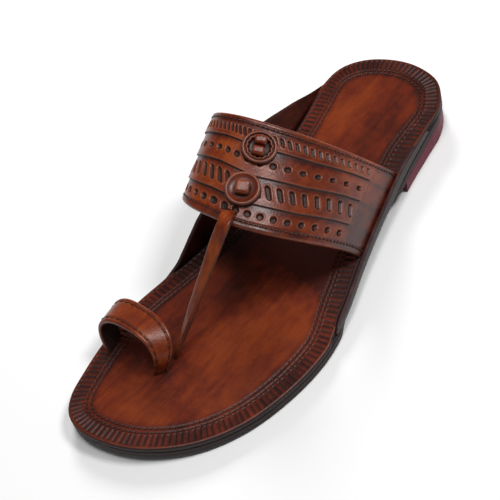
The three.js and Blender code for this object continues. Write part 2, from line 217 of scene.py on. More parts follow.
def leather(name, dark, base, warm, roughness, grain, coat):
    """Dyed, waxed leather: soft patches of dye, fine grain; painted shade and dark ink, rubbing and
    painted highlight.
    """
    material, tree, place = blank_material(name)
    patches = add(
        tree, "ShaderNodeTexNoise",
        {"Scale": 1 / (34 * MM), "Detail": 3.0, "Roughness": 0.55}, {"Vector": place},
    )
    streaks = add(
        tree, "ShaderNodeTexNoise", {"Scale": 1.0, "Detail": 4.0, "Roughness": 0.6},
        {"Vector": add(
            tree, "ShaderNodeMapping", {"Scale": (1 / (2.6 * MM), 1 / (16 * MM), 1 / (5 * MM))},
            {"Vector": place},
        ).outputs[0]},
    )
    mottle = add(
        tree, "ShaderNodeTexNoise", {"Scale": 1 / (8 * MM), "Detail": 3.0, "Roughness": 0.65},
        {"Vector": place},
    )
    pores = add(
        tree, "ShaderNodeTexNoise",
        {"Scale": 1 / (0.75 * MM), "Detail": 2.0, "Roughness": 0.6}, {"Vector": place},
    )
    pebble = add(
        tree, "ShaderNodeTexVoronoi", {"Scale": 1 / (1.1 * MM), "Randomness": 1.0},
        {"Vector": place},
    )
    dye = add(tree, "ShaderNodeAttribute", {"attribute_name": "dye"}).outputs["Fac"]
    recess = add(tree, "ShaderNodeAttribute", {"attribute_name": "recess"}).outputs["Fac"]
    wear = add(tree, "ShaderNodeAttribute", {"attribute_name": "wear"}).outputs["Fac"]
    tone = add(
        tree, "ShaderNodeMath", {"operation": "MULTIPLY_ADD", 1: 1.1, 2: -0.75},
        {0: patches.outputs["Fac"]},
    )
    tone = add(
        tree, "ShaderNodeMath", {"operation": "MULTIPLY_ADD", 1: 0.75},
        {0: streaks.outputs["Fac"], 2: tone.outputs[0]},
    )
    tone = add(
        tree, "ShaderNodeMath", {"operation": "MULTIPLY_ADD", 1: 0.7},
        {0: mottle.outputs["Fac"], 2: tone.outputs[0]},
    )
    # Dye patches and painted shadows shift the tone.
    tone = add(tree, "ShaderNodeMath", {"operation": "ADD"}, {0: tone.outputs[0], 1: dye})
    ramp = add(tree, "ShaderNodeValToRGB", {}, {0: tone.outputs[0]})
    ramp.color_ramp.elements[0].position = 0.12
    ramp.color_ramp.elements[0].color = linear(dark)
    ramp.color_ramp.elements[1].position = 0.88
    ramp.color_ramp.elements[1].color = linear(warm)
    ramp.color_ramp.elements.new(0.5).color = linear(base)
    # Rubbing and painted highlights lighten the colour towards tan.
    worn_and_lit = add(
        tree, "ShaderNodeMix", {"data_type": "RGBA", 7: linear("#84482E")},
        {0: wear, 6: ramp.outputs[0]},
    )
    # Dark edge ink and painted shade darken the colour to near-black.
    shaded_and_inked = add(
        tree, "ShaderNodeMix", {"data_type": "RGBA", 7: linear("#170807")},
        {0: recess, 6: worn_and_lit.outputs[2]},
    )
    gloss = add(
        tree, "ShaderNodeMath", {"operation": "MULTIPLY_ADD", 1: 0.22, 2: roughness - 0.11},
        {0: patches.outputs["Fac"]},
    )
    gloss = add(
        tree, "ShaderNodeMath", {"operation": "MULTIPLY_ADD", 1: 0.3}, {0: recess, 2: gloss.outputs[0]}
    )
    height = add(
        tree, "ShaderNodeMath", {"operation": "MULTIPLY_ADD", 1: 0.6},
        {0: pores.outputs["Fac"], 2: pebble.outputs["Distance"]},
    )
    bump = add(
        tree, "ShaderNodeBump", {"Strength": grain, "Distance": 0.12 * MM},
        {"Height": height.outputs[0]},
    )
    shader = add(
        tree, "ShaderNodeBsdfPrincipled",
        {"IOR": 1.43, "Coat Weight": coat, "Coat Roughness": 0.3},
        {"Base Color": shaded_and_inked.outputs[2], "Roughness": gloss.outputs[0],
         "Normal": bump.outputs[0]},
    )
    add(tree, "ShaderNodeOutputMaterial", {}, {0: shader.outputs[0]})
    return material


# Waxed insole leather: deep red-brown with orange where the burnisher thinned the dye.
insole_leather = leather(
    "burnished_insole_leather", "#380E04", "#5E1D06", "#782E07", 0.42, 0.5, 0.03
)

# Where an ear stands beside the insole, on the outer side (+1) and the inner side (-1): its two
# ends, how far it thins to each, and how far in front of it the insole starts to draw in.
ear_zones = {
    1.0: {"front": -29.5, "back": 103, "front_taper": 12, "back_taper": 36, "lead": 6},
    -1.0: {"front": -45.5, "back": 108, "front_taper": 14, "back_taper": 26, "lead": 26},
}
# How far the insole's cut edge and its border draw in beside an ear, and where the edge starts to.
insole_inset = 3.3
seam_step = 1.25
ear_step = insole_inset - seam_step
stroke_samples = 8
stroke_count = 209
stroke_front, stroke_back = 1.5, 8.1
stroke_depth = 0.7
stitch_rows = (9.1, 11.5)
stitch_trough = 0.28
toe_lean = 0.12


def ear_fullness(along, sign):
    """1 where the ear beside the insole has its whole thickness, thinning to 0 at its ends."""
    zone = ear_zones[sign]
    thick_from, thick_to = zone["front"] + zone["front_taper"], zone["back"] - zone["back_taper"]
    return ease(along, zone["front"], thick_from) * (1 - ease(along, thick_to, zone["back"]))


ring, inward, side, perimeter = sole_ring(stroke_count * stroke_samples)
sharp = np.zeros(len(ring))
gentle = np.zeros(len(ring))
for sign, zone in ear_zones.items():
    here = side == sign
    along = ring[here, 1]
    front, back, start = zone["front"], zone["back"], zone["front"] - zone["lead"]
    beside = ease(along, start, front) * (1 - ease(along, back - 2, back + 14))
    sharp[here] = seam_step * beside + ear_step * ear_fullness(along, sign)
    drawn_in = ease(along, start - 4, front + 22) * (1 - ease(along, back - 21, back + 9))
    gentle[here] = insole_inset * drawn_in

# Distances in from the edge at which the top is shaped, close together over the rounded corner,
# the strokes and the stitch troughs, and how far the corner falls away at the first few.
offsets = np.r_[
    0, 0, 0.12, 0.4, 0.9, 1.5, 1.9, 2.1, 2.3, 2.6, np.arange(3.2, 7.2, 0.7), 7.4, 7.7, 8.0,
    np.arange(8.3, 12.5, 0.28), 13.0, 13.8, 15.0,
]
drop = np.zeros(len(offsets))
drop[1:5] = (0.95, 0.42, 0.1, 0.0)
stroke_pitch = perimeter / stroke_count
chance = np.random.default_rng(5)
stroke_slip = chance.uniform(-0.22, 0.22, stroke_count)
stroke_force = chance.uniform(0.72, 1.0, stroke_count)
travel = np.arange(len(ring)) * perimeter / len(ring)
stroke_lean = toe_lean * inward[:, 0] * (1 - ease(ring[:, 1], -95, -45))


def struck(offset):
    """How deep the border's strokes are, 0 to 1, round the ring at a distance in from the edge."""
    along = travel + stroke_lean * (offset - (stroke_front + stroke_back) / 2)
    number = np.round(along / stroke_pitch).astype(int)
    which = number % stroke_count
    across = np.abs(along - number * stroke_pitch + stroke_slip[which])
    stroke = (1 - ease(across, 0.3, 0.95)) * within(offset, stroke_front, stroke_back, 0.5)
    return stroke * stroke_force[which]


def border_row(offset, fall):
    """One ring of the insole's top at a distance in from its edge, with its darkness (edge ink, and
    painted shade in the strokes, the stitch troughs and beside an ear) and its painted rim highlight.
    """
    shift = sharp + (gentle - sharp) * ease(offset, 0.9, 2.1)
    flat = ring + inward * (offset + shift)[:, None]
    stroke = struck(offset)
    trough = sum(1 - ease(abs(offset - at), 0.2, 0.9) for at in stitch_rows)
    z = insole_top(flat[:, 1]) - fall - stroke_depth * stroke - stitch_trough * trough
    # The cut side is inked dark; beside a full ear the outer 2 mm of the top are painted dark as the
    # ear's shadow.
    by_ear = np.where(sharp > 2.0, 1 - ease(offset, 0.9, 2.0), 0.0)
    edge_ink_and_ear_shade = np.maximum(0.9 if offset < 0.2 else 0.0, 0.85 * by_ear)
    # A thin painted highlight runs along the top of the rim.
    rim_highlight = 0.15 if 0.3 < offset < 1.0 else 0.0
    # The strokes and the stitch troughs are painted near-black as shade.
    dark = np.maximum(stroke * 0.95 + 0.6 * trough, edge_ink_and_ear_shade)
    return np.c_[flat, z], dark, np.where(edge_ink_and_ear_shade < 0.1, rim_highlight, 0.0)


def insole_body(rows, spacing):
    """Points and faces of the insole from its rings: rounded side, filled top and flat underside."""
    size, border = rows.shape[1], rows[-1]
    flat, triangles = fill(border[:, :2], spacing)
    inner = flat[size:]
    top_ring = (len(rows) - 1) * size
    top_start = top_ring + size
    bottom_start = top_start + len(inner)
    points = np.vstack([
        rows.reshape(-1, 3), np.c_[inner, insole_top(inner[:, 1])],
        np.c_[border[:, :2], outsole_top(border[:, 1]) + gap],
        np.c_[inner, outsole_top(inner[:, 1]) + gap],
    ])
    faces = rings_to_quads(len(rows), size)
    for triangle in triangles:
        faces.append([top_ring + i if i < size else top_start + i - size for i in triangle])
        faces.append([bottom_start + i for i in reversed(triangle)])
    here = np.arange(size)
    ahead = (here + 1) % size
    under = np.stack([bottom_start + here, bottom_start + ahead, ahead, here], -1)
    return points, faces + under.tolist()


made_rows = [border_row(offset, fall) for offset, fall in zip(offsets, drop)]
rows, groove_shade_and_edge_ink, wears = (np.array(part) for part in zip(*made_rows))
rows[0][:, 2] = outsole_top(rows[0][:, 1]) + gap
points, faces = insole_body(rows, 3.0)

# The insole is darker round the toe slot, its dye is thinner where the ball of the foot goes, and
# the band's shadow is painted dark on it under the band. The border outside the stitches is darker
# too.
border_dye = -0.3
spots = [
    {"x": -9, "y": -88, "reach": 13, "dye": -0.34},
    {"x": -24, "y": -84, "reach": 12, "dye": -0.35},
    {"x": -14, "y": -100, "reach": 14, "dye": 0.20},
    {"x": 18, "y": -58, "reach": 20, "dye": 0.26},
    {"x": 28, "y": -32, "reach": 15, "dye": 0.2},
    # Painted shadow of the band on the insole: these three spots lie under it.
    {"x": 26, "y": 6, "reach": 22, "dye": -0.6},
    {"x": 0, "y": 10, "reach": 30, "dye": -0.45},
    {"x": 8, "y": 46, "reach": 28, "dye": -0.25},
    {"x": -34, "y": 70, "reach": 20, "dye": 0.15},
    {"x": -4, "y": 92, "reach": 16, "dye": -0.1},
]


def stain_and_shadow(points):
    total = np.zeros(len(points))
    for spot in spots:
        away = np.hypot(points[:, 0] - spot["x"], points[:, 1] - spot["y"])
        total += spot["dye"] * np.exp(-((away / spot["reach"]) ** 2))
    return total


# The insole's darkness is edge ink and painted shade; its lightness is a painted highlight along the
# rim.
plain = np.zeros(len(points) - groove_shade_and_edge_ink.size)
border_share = np.repeat(1 - ease(offsets, 12, 15), len(ring))
insole = make_piece(
    "insole_burnished", points, faces, insole_leather,
    recess=np.r_[groove_shade_and_edge_ink.ravel(), plain], wear=np.r_[wears.ravel(), plain],
    dye=stain_and_shadow(points) + border_dye * np.r_[border_share, plain],
)
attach(insole, "root")
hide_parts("insole")

# ---------------------------------------------------------------- stitch rows of the insole
# Waxed brown thread, laid in two rows of short slanting stitches along the border's inner side.
# Each row is one run of thread dashes set on a path, every stitch a little different by hand.


def stitch_tree():
    """Geometry Nodes: even dashes of thread along a path whose points hold the surface normal."""
    tree = bpy.data.node_groups.new("thread_dashes", "GeometryNodeTree")
    tree.interface.new_socket("Geometry", in_out="OUTPUT", socket_type="NodeSocketGeometry")
    kinds = {
        "Geometry": "Geometry", "Pitch": "Float", "Length": "Float", "Width": "Float",
        "Height": "Float", "Slant": "Float", "Seed": "Int", "Thread": "Material",
    }
    for name, kind in kinds.items():
        tree.interface.new_socket(name, in_out="INPUT", socket_type="NodeSocket" + kind)
    sizes = add(tree, "NodeGroupInput").outputs
    path = add(tree, "GeometryNodeMeshToCurve", {}, {0: sizes["Geometry"]})
    even = add(
        tree, "GeometryNodeResampleCurve", {"mode": "LENGTH"},
        {"Curve": path.outputs[0], "Length": sizes["Pitch"]},
    )
    normal = add(
        tree, "GeometryNodeInputNamedAttribute", {"data_type": "FLOAT_VECTOR", "Name": "up"}
    )
    tangent = add(tree, "GeometryNodeInputTangent")
    along = add(
        tree, "FunctionNodeAlignRotationToVector", {"axis": "X"}, {"Vector": tangent.outputs[0]}
    )
    upright = add(
        tree, "FunctionNodeAlignRotationToVector", {"axis": "Z", "pivot_axis": "X"},
        {"Rotation": along.outputs[0], "Vector": normal.outputs[0]},
    )
    wobble = add(
        tree, "FunctionNodeRandomValue", {"data_type": "FLOAT", 2: -0.12, 3: 0.12},
        {"Seed": sizes["Seed"]},
    )
    angle = add(
        tree, "ShaderNodeMath", {"operation": "ADD"}, {0: sizes["Slant"], 1: wobble.outputs[1]}
    )
    spin = add(tree, "ShaderNodeCombineXYZ", {}, {"Z": angle.outputs[0]})
    turn = add(tree, "FunctionNodeEulerToRotation", {}, {0: spin.outputs[0]})
    slanted = add(
        tree, "FunctionNodeRotateRotation", {"rotation_space": "LOCAL"},
        {0: upright.outputs[0], 1: turn.outputs[0]},
    )
    size = add(
        tree, "ShaderNodeCombineXYZ", {},
        {"X": sizes["Length"], "Y": sizes["Width"], "Z": sizes["Height"]},
    )
    varied = add(
        tree, "FunctionNodeRandomValue", {"data_type": "FLOAT", 2: 0.86, 3: 1.1},
        {"Seed": sizes["Seed"]},
    )
    scaled = add(
        tree, "ShaderNodeVectorMath", {"operation": "SCALE"},
        {0: size.outputs[0], "Scale": varied.outputs[1]},
    )
    dash = add(tree, "GeometryNodeMeshUVSphere", {"Segments": 8, "Rings": 6, "Radius": 0.5})
    smooth = add(tree, "GeometryNodeSetShadeSmooth", {}, {0: dash.outputs[0]})
    placed = add(
        tree, "GeometryNodeInstanceOnPoints", {},
        {"Points": even.outputs[0], "Instance": smooth.outputs[0],
         "Rotation": slanted.outputs[0], "Scale": scaled.outputs[0]},
    )
    real = add(tree, "GeometryNodeRealizeInstances", {}, {0: placed.outputs[0]})
    finished = add(
        tree, "GeometryNodeSetMaterial", {}, {0: real.outputs[0], "Material": sizes["Thread"]}
    )
    add(tree, "NodeGroupOutput", {}, {0: finished.outputs[0]})
    return tree


def stitch_run(name, paths, closed, thread, **sizes):
    """A mesh of thread dashes along paths of (points, normals), in millimetres."""
    points, edges, ups = [], [], []
    for line, normals in paths:
        first, size = len(points), len(line)
        points += (np.asarray(line) * MM).tolist()
        ups += np.asarray(normals).tolist()
        edges += [(first + i, first + i + 1) for i in range(size - 1)]
        if closed:
            edges.append((first + size - 1, first))
    mesh = bpy.data.meshes.new(name + "_path")
    mesh.from_pydata(points, edges, [])
    layer = mesh.attributes.new("up", "FLOAT_VECTOR", "POINT")
    layer.data.foreach_set("vector", np.array(ups, np.float32).ravel())
    path = bpy.data.objects.new(name + "_path", mesh)
    bpy.context.scene.collection.objects.link(path)
    modifier = path.modifiers.new("dashes", "NODES")
    modifier.node_group = thread_dashes
    values = {"Thread": thread, **sizes}
    for item in thread_dashes.interface.items_tree:
        if item.in_out == "INPUT" and item.name in values:
            modifier[item.identifier] = values[item.name]
    graph = bpy.context.evaluated_depsgraph_get()
    made = bpy.data.meshes.new_from_object(path.evaluated_get(graph), depsgraph=graph)
    made.name = name
    path.modifiers.remove(modifier)
    bpy.data.objects.remove(path)
    piece = bpy.data.objects.new(name, made)
    bpy.context.scene.collection.objects.link(piece)
    return piece


def thread_material(name, colour, shine):
    """Waxed cotton thread: a dull dark body with fine twisted plies."""
    material, tree, place = blank_material(name)
    plies = add(
        tree, "ShaderNodeTexNoise", {"Scale": 1 / (0.5 * MM), "Detail": 2.0}, {"Vector": place}
    )
    shade = add(
        tree, "ShaderNodeMix",
        {"data_type": "RGBA", 6: linear("#0E0505"), 7: linear(colour)}, {0: plies.outputs["Fac"]},
    )
    bump = add(
        tree, "ShaderNodeBump", {"Strength": 0.4, "Distance": 0.1 * MM},
        {"Height": plies.outputs["Fac"]},
    )
    shader = add(
        tree, "ShaderNodeBsdfPrincipled",
        {"Roughness": shine, "IOR": 1.5},
        {"Base Color": shade.outputs[2], "Normal": bump.outputs[0]},
    )
    add(tree, "ShaderNodeOutputMaterial", {}, {0: shader.outputs[0]})
    return material


thread_dashes = stitch_tree()
dark_thread = thread_material("waxed_brown_thread", "#5C2C18", 0.3)
insole_stitches = []
for at in stitch_rows:
    flat = ring + inward * (at + gentle)[:, None]
    line = np.c_[flat, insole_top(flat[:, 1]) - 0.02]
    insole_stitches.append((line, np.tile((0.0, 0.0, 1.0), (len(line), 1))))
insole_thread = stitch_run(
    "insole_stitches", insole_stitches, True, dark_thread,
    Pitch=2.9 * MM, Length=1.9 * MM, Width=0.8 * MM, Height=0.8 * MM, Slant=0.7, Seed=3,
)
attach(insole_thread, "root")

# ---------------------------------------------------------------- outsole
# The outsole is thick bend leather in two plies, cut with a knife, inked dark brown and waxed at
# its edge. Its underside is bare, rubbed and a little scuffed, and it is drawn in at the waist.
outsole_count = 900
waist_trim = 2.2
trim_front, trim_back, trim_fade = -26, 66, 12
outsole_ring, outsole_inward = sole_ring(outsole_count)[:2]
trim = waist_trim * within(outsole_ring[:, 1], trim_front, trim_back, trim_fade)


def edge_dressing(name, dark, light, roughness):
    """A cut leather edge, inked and burnished: fibres lie along it in fine layers, and it is painted
    near-black where shade falls on it.
    """
    material, tree, place = blank_material(name)
    layers = add(
        tree, "ShaderNodeMapping", {"Scale": (1 / (9 * MM), 1 / (9 * MM), 1 / (0.7 * MM))},
        {"Vector": place},
    )
    fibres = add(
        tree, "ShaderNodeTexNoise", {"Scale": 1.0, "Detail": 4.0, "Roughness": 0.6},
        {"Vector": layers.outputs[0]},
    )
    recess = add(tree, "ShaderNodeAttribute", {"attribute_name": "recess"}).outputs["Fac"]
    ramp = add(tree, "ShaderNodeValToRGB", {}, {0: fibres.outputs["Fac"]})
    ramp.color_ramp.elements[0].position = 0.3
    ramp.color_ramp.elements[0].color = linear(dark)
    ramp.color_ramp.elements[1].position = 0.75
    ramp.color_ramp.elements[1].color = linear(light)
    # Painted shade: near-black is mixed in per point.
    shaded_edge = add(
        tree, "ShaderNodeMix", {"data_type": "RGBA", 7: linear("#080404")},
        {0: recess, 6: ramp.outputs[0]},
    )
    gloss = add(
        tree, "ShaderNodeMath", {"operation": "MULTIPLY_ADD", 1: 0.3, 2: roughness - 0.15},
        {0: fibres.outputs["Fac"]},
    )
    bump = add(
        tree, "ShaderNodeBump", {"Strength": 0.5, "Distance": 0.15 * MM},
        {"Height": fibres.outputs["Fac"]},
    )
    shader = add(
        tree, "ShaderNodeBsdfPrincipled", {"IOR": 1.4},
        {"Base Color": shaded_edge.outputs[2], "Roughness": gloss.outputs[0],
         "Normal": bump.outputs[0]},
    )
    add(tree, "ShaderNodeOutputMaterial", {}, {0: shader.outputs[0]})
    return material


inked_edge = edge_dressing("inked_bend_leather_edge", "#150707", "#2C1212", 0.58)


def sole_body(name, ring_points, inward_at, profile, low, high, spacing, material):
    """A sole layer with a shaped side. profile rows are inset, share of height, and darkness of
    painted shade.
    """
    rows, dark = [], []
    for inset, share, recess in profile:
        flat = ring_points + inward_at * inset
        bottom, top = low(flat[:, 1]), high(flat[:, 1])
        rows.append(np.c_[flat, bottom + (top - bottom) * share])
        dark.append(np.full(len(flat), recess))
    border = rows[-1][:, :2]
    size, count = len(ring_points), len(rows)
    flat, triangles = fill(border, spacing)
    inner = flat[size:]
    upper_start = count * size
    lower_start = upper_start + len(inner)
    points = np.vstack([
        np.array(rows).reshape(-1, 3), np.c_[inner, high(inner[:, 1])],
        np.c_[inner, low(inner[:, 1])],
    ])
    faces = rings_to_quads(count, size)
    for tri in triangles:
        faces.append([(count - 1) * size + i if i < size else upper_start + i - size for i in tri])
        faces.append([i if i < size else lower_start + i - size for i in reversed(tri)])
    dark = np.r_[np.array(dark).ravel(), np.zeros(len(points) - upper_start)]
    return make_piece(name, points, faces, material, recess=dark)


# Rows of a layer's side: inset, share of the height, darkness. The darkness is painted shade where the
# side rounds in at its top and bottom and in the groove between the plies.
outsole_profile = [
    (0.7, 0.0, 0.5), (0.2, 0.05, 0.3), (0.0, 0.15, 0), (0.0, 0.47, 0), (0.08, 0.5, 0.3),
    (0.0, 0.53, 0), (0.0, 0.85, 0), (0.2, 0.95, 0.3), (0.7, 1.0, 0.6),
]
outsole = sole_body(
    "outsole_two_ply", outsole_ring + outsole_inward * trim[:, None], outsole_inward,
    outsole_profile, underside, outsole_top, 4.0, inked_edge,
)
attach(outsole, "root")
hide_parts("outsole")

# ---------------------------------------------------------------- heel block
# The heel is a low stack of lifts, cut square at its breast and painted wine red all round. It is
# nailed and glued under the back of the outsole, and its bottom corner is worn a little round.
heel_breast = 70.0
heel_inset = 0.4


def heel_ring(count):
    """Even points round the heel block, along its back and straight across its breast."""
    full = np.vstack([rim[heel_index:][::-1], rim[: heel_index + 1][::-1]])
    back = full[full[:, 1] >= heel_breast]
    medial = [edge_at(heel_breast, -1), heel_breast]
    lateral = [edge_at(heel_breast, 1), heel_breast]
    loop = np.vstack([medial, back, lateral, medial])
    lengths = np.r_[0, np.cumsum(np.linalg.norm(np.diff(loop, axis=0), axis=1))]
    spots = np.linspace(0, lengths[-1], count, endpoint=False)
    points = np.stack([np.interp(spots, lengths, loop[:, k]) for k in (0, 1)], 1)
    for _round in range(4):
        points = (np.roll(points, 1, 0) + 2 * points + np.roll(points, -1, 0)) / 4
    ahead = np.roll(points, -1, 0) - np.roll(points, 1, 0)
    ahead /= np.linalg.norm(ahead, axis=1)[:, None]
    inside = np.stack([ahead[:, 1], -ahead[:, 0]], 1)
    return points + inside * heel_inset, inside


wine_paint = edge_dressing("wine_edge_paint_on_stacked_heel", "#560620", "#74082C", 0.55)
heel_points, heel_inward = heel_ring(520)
# The darkness in these rows is painted shade where the side rounds in and in the lines between the
# lifts.
heel_profile = [
    (0.7, 0.0, 0.35), (0.25, 0.04, 0.2), (0.0, 0.1, 0), (0.0, 0.30, 0), (0.05, 0.33, 0.2),
    (0.0, 0.36, 0), (0.0, 0.64, 0), (0.05, 0.67, 0.2), (0.0, 0.70, 0), (0.0, 0.96, 0),
    (0.3, 1.0, 0.6),
]
heel = sole_body(
    "heel_block_lifts", heel_points, heel_inward, heel_profile,
    lambda along: np.zeros(len(along)), lambda along: underside(along) - 0.05, 4.0, wine_paint,
)
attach(heel, "root")
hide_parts("heel_block")

# ---------------------------------------------------------------- side ears
# An ear stands up from between the soles on each side of the foot and backs the band's foot. It is
# single leather with a rounded top edge; the outer one shows only as a low lip, painted as a sheen on
# top and as shade on its sides.
ear_thickness = 2.3
band_inset = ear_thickness + 2 * gap
last_sections = [
    {"place": -1.4, "rise": 40, "square": 2.4, "tuck": 4, "sweep": -45},
    {"place": 0, "rise": 56.5, "square": 2.5, "tuck": 9, "sweep": -45},
    {"place": 1, "rise": 70.2, "square": 1.95, "tuck": 24.4, "sweep": -46.9},
    {"place": 2.3, "rise": 58, "square": 2.2, "tuck": 5, "sweep": -46.9},
]
front_foot = {"lateral": 15.6, "medial": 9.6}
rear_foot = {"lateral": 70.8, "medial": 55.1}


def arch_point(arch, angle):
    """A point on an arch that stands on the sole: angle 0 at its outer foot, pi at its inner."""
    c = np.cos(angle)
    s = np.maximum(np.sin(angle), 0)
    lateral = arch["lateral_x"] + arch["lateral_tuck"]
    medial = arch["medial_x"] - arch["medial_tuck"]
    reach = np.sign(c) * np.abs(c) ** (2 / arch["square"])
    tuck = np.where(c > 0, -arch["lateral_tuck"], arch["medial_tuck"]) * (1 - s) ** 2
    across = (1 - c) / 2
    x = (lateral + medial) / 2 + (lateral - medial) / 2 * reach + tuck
    y = arch["lateral_y"] + (arch["medial_y"] - arch["lateral_y"]) * across + arch["sweep"] * s
    foot = arch["lateral_z"] + (arch["medial_z"] - arch["lateral_z"]) * across
    return np.stack([x, y, foot + arch["rise"] * s ** (2 / arch["square"])], -1)


def arch_normal(arch_at, place, angle):
    step = 0.01
    safe = np.clip(angle, 2 * step, math.pi - 2 * step)
    along = arch_point(arch_at(place + step), safe) - arch_point(arch_at(place - step), safe)
    around = arch_point(arch_at(place), safe + step) - arch_point(arch_at(place), safe - step)
    normal = np.cross(along, around)
    return normal / np.linalg.norm(normal, axis=-1, keepdims=True)


def arch_offset(arch_at, place, angle, offset):
    """A point moved out along the surface's normal, kept above the outsole."""
    place, angle, offset = np.broadcast_arrays(
        np.asarray(place, float), np.asarray(angle, float), np.asarray(offset, float)
    )
    point = arch_point(arch_at(place), angle)
    point = point + arch_normal(arch_at, place, angle) * offset[..., None]
    point[..., 2] = np.maximum(point[..., 2], outsole_top(point[..., 1]) + 0.05)
    return point


def band_at(place):
    """The last under the band and the ears. The band's front edge is at place 0."""
    sections = {
        key: np.interp(place, [s["place"] for s in last_sections], [s[key] for s in last_sections])
        for key in ("rise", "square", "tuck", "sweep")
    }
    lateral_y = front_foot["lateral"] + (rear_foot["lateral"] - front_foot["lateral"]) * place
    medial_y = front_foot["medial"] + (rear_foot["medial"] - front_foot["medial"]) * place
    return {
        "lateral_x": edge_at(lateral_y, 1) - band_inset,
        "medial_x": edge_at(medial_y, -1) + band_inset,
        "lateral_y": lateral_y, "medial_y": medial_y,
        "lateral_z": outsole_top(lateral_y) + gap, "medial_z": outsole_top(medial_y) + gap,
        "lateral_tuck": 0.0, "medial_tuck": sections["tuck"],
        "rise": sections["rise"], "square": sections["square"], "sweep": sections["sweep"],
    }


def tube(rings):
    """Quads over a run of closed rings, with a face over each end."""
    rows, cols = rings.shape[:2]
    last = (rows - 1) * cols
    faces = rings_to_quads(rows, cols)
    return faces + [list(range(cols - 1, -1, -1)), list(range(last, last + cols))]


# Height of each ear above the outsole, by its place along the last: place, height.
ear_tops = {
    "medial": [
        (-1.17, 1.2), (-0.95, 3.8), (-0.76, 7.6), (-0.45, 13.8), (-0.17, 18.2), (0.4, 22),
        (0.95, 20.5), (1.31, 16.4), (1.67, 10.3), (1.92, 4.6), (2.12, 1.2),
    ],
    "lateral": [(-0.78, 1.2), (-0.55, 3.2), (0.2, 3.9), (1.0, 3.9), (1.28, 3.4), (1.54, 2.4)],
}
ear_leather = leather("dyed_ear_leather", "#200805", "#3E140A", "#54200D", 0.38, 0.4, 0.15)
# Half of an ear's thickness where it is skived thin, and where it is whole.
thin_half = 0.3
full_half = (ear_thickness - 0.2) / 2


def ear(name, table, sign, material):
    """One ear as rings round its section, from its front end to its back end."""
    places = np.linspace(table[0][0], table[-1][0], 150)[:, None]
    heights = smooth_curve([(p, h) for p, h in table], False, 600)
    height = np.interp(places, heights[:, 0], np.maximum(heights[:, 1], 0.6))
    arch = band_at(places)
    station = arch["lateral_y" if sign > 0 else "medial_y"]
    top = np.arcsin(np.clip(height / arch["rise"], 0, 1) ** (arch["square"] / 2))
    levels = np.array([0, 0.2, 0.4, 0.6, 0.75, 0.86, 0.93, 0.97, 0.992, 1.0])
    depth = thin_half + (full_half - thin_half) * ear_fullness(station, float(sign))
    round_off = np.array([1, 1, 1, 1, 1, 1, 0.98, 0.86, 0.55, 0.0])
    middle = gap + ear_thickness - depth
    sides = []
    for way, order in ((1, slice(None)), (-1, slice(None, None, -1))):
        share = levels[order][None, :]
        angle = share * top
        offset = middle + way * depth * round_off[order][None, :]
        angle = angle if sign > 0 else math.pi - angle
        sides.append(arch_offset(band_at, places, angle, offset))
    rings = np.concatenate([sides[0], sides[1][:, 1:]], 1)
    cut = np.r_[np.zeros(8), 0.6, 1.0, 0.6, np.zeros(8)]
    points = rings.reshape(-1, 3)
    return make_piece(
        name, points, tube(rings), material,
        # The inner ear's cut top is inked dark; the outer ear's sides are painted dark as shade,
        # leaving its top light.
        recess=np.tile(cut * 0.5 if sign < 0 else 0.8 * (1 - cut), len(places)),
        dye=np.full(len(points), -0.05),
    )


# The outer ear's cut top is coloured mauve-brown as a painted sheen; its sides are painted dark as
# shade.
lip_sheen_paint = edge_dressing("ear_lip_painted_sheen", "#3E2426", "#5E4040", 0.4)
for name, sign, material in (("lateral", 1, lip_sheen_paint), ("medial", -1, ear_leather)):
    piece = ear("ear_" + name + "_leather", ear_tops[name], sign, material)
    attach(piece, "root")
    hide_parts("ear_" + name)

# ---------------------------------------------------------------- instep band
# The band is one wide strap, its long edges folded under and sewn. Three narrower strips lap over
# it like shingles, each with a cut edge towards the toe, and are punched with holes, long slots
# and short strokes before they are glued down; the band's outer end is left plain.
band_thickness = 3.0
band_width = 56.0
edge_round = 1.35
arc_angles = np.radians(np.linspace(0, 180, 721))
arc_line = arch_point(band_at(0.5), arc_angles)
arc_run = np.r_[0, np.cumsum(np.linalg.norm(np.diff(arc_line, axis=0), axis=1))]
run_total = arc_run[-1]
plain_end = 25.0
strip_lines = [13.4, 27.8, 42.3]
strip_step = 0.9
seam_lines = (3.5, 53.0)
# Rows of punching: distance from the front edge, distance between, where the first one stands,
# half the length between its round ends, radius, and lean.
punching = [
    {"across": 8.0, "pitch": 7.9, "first": 29.2, "half": 0.0, "radius": 1.8, "lean": 0.0},
    {"across": 20.9, "pitch": 6.7, "first": 28.5, "half": 2.35, "radius": 1.4, "lean": 0.38},
    {"across": 34.9, "pitch": 7.9, "first": 29.3, "half": 0.0, "radius": 1.7, "lean": 0.0},
    {"across": 47.6, "pitch": 3.9, "first": 28.0, "half": 1.5, "radius": 0.85, "lean": 0.38},
]
# The punch was stepped wider at the band's ends than over its crown.
spacing = np.interp(
    arc_run, [0, 30, 50, 70, 85, 100, 115, 140, 200], [1.2, 1.17, 1.08, 0.96, 0.8, 0.7, 0.8, 1, 1]
)
stepped = np.r_[0, np.cumsum(np.diff(arc_run) * 2 / (spacing[1:] + spacing[:-1]))]
punch_depth = 1.5
slit_across, slit_angle, slit_half = 6.2, math.radians(82.3), 4.4


def run_at(angle):
    return np.interp(angle, arc_angles, arc_run)


def band_place(across, angle):
    """The place on the last of a line across the band: the hand-laid strips wander a little."""
    climb = np.interp(
        np.degrees(angle), [0, 17, 26, 35, 46, 62, 72, 84, 93, 106, 130, 180],
        [0.03, 0.042, 0.042, 0.026, 0.0, -0.012, -0.022, 0.004, 0.026, 0.025, 0, 0],
    )
    return across / band_width + climb * np.sin(np.pi * across / band_width)


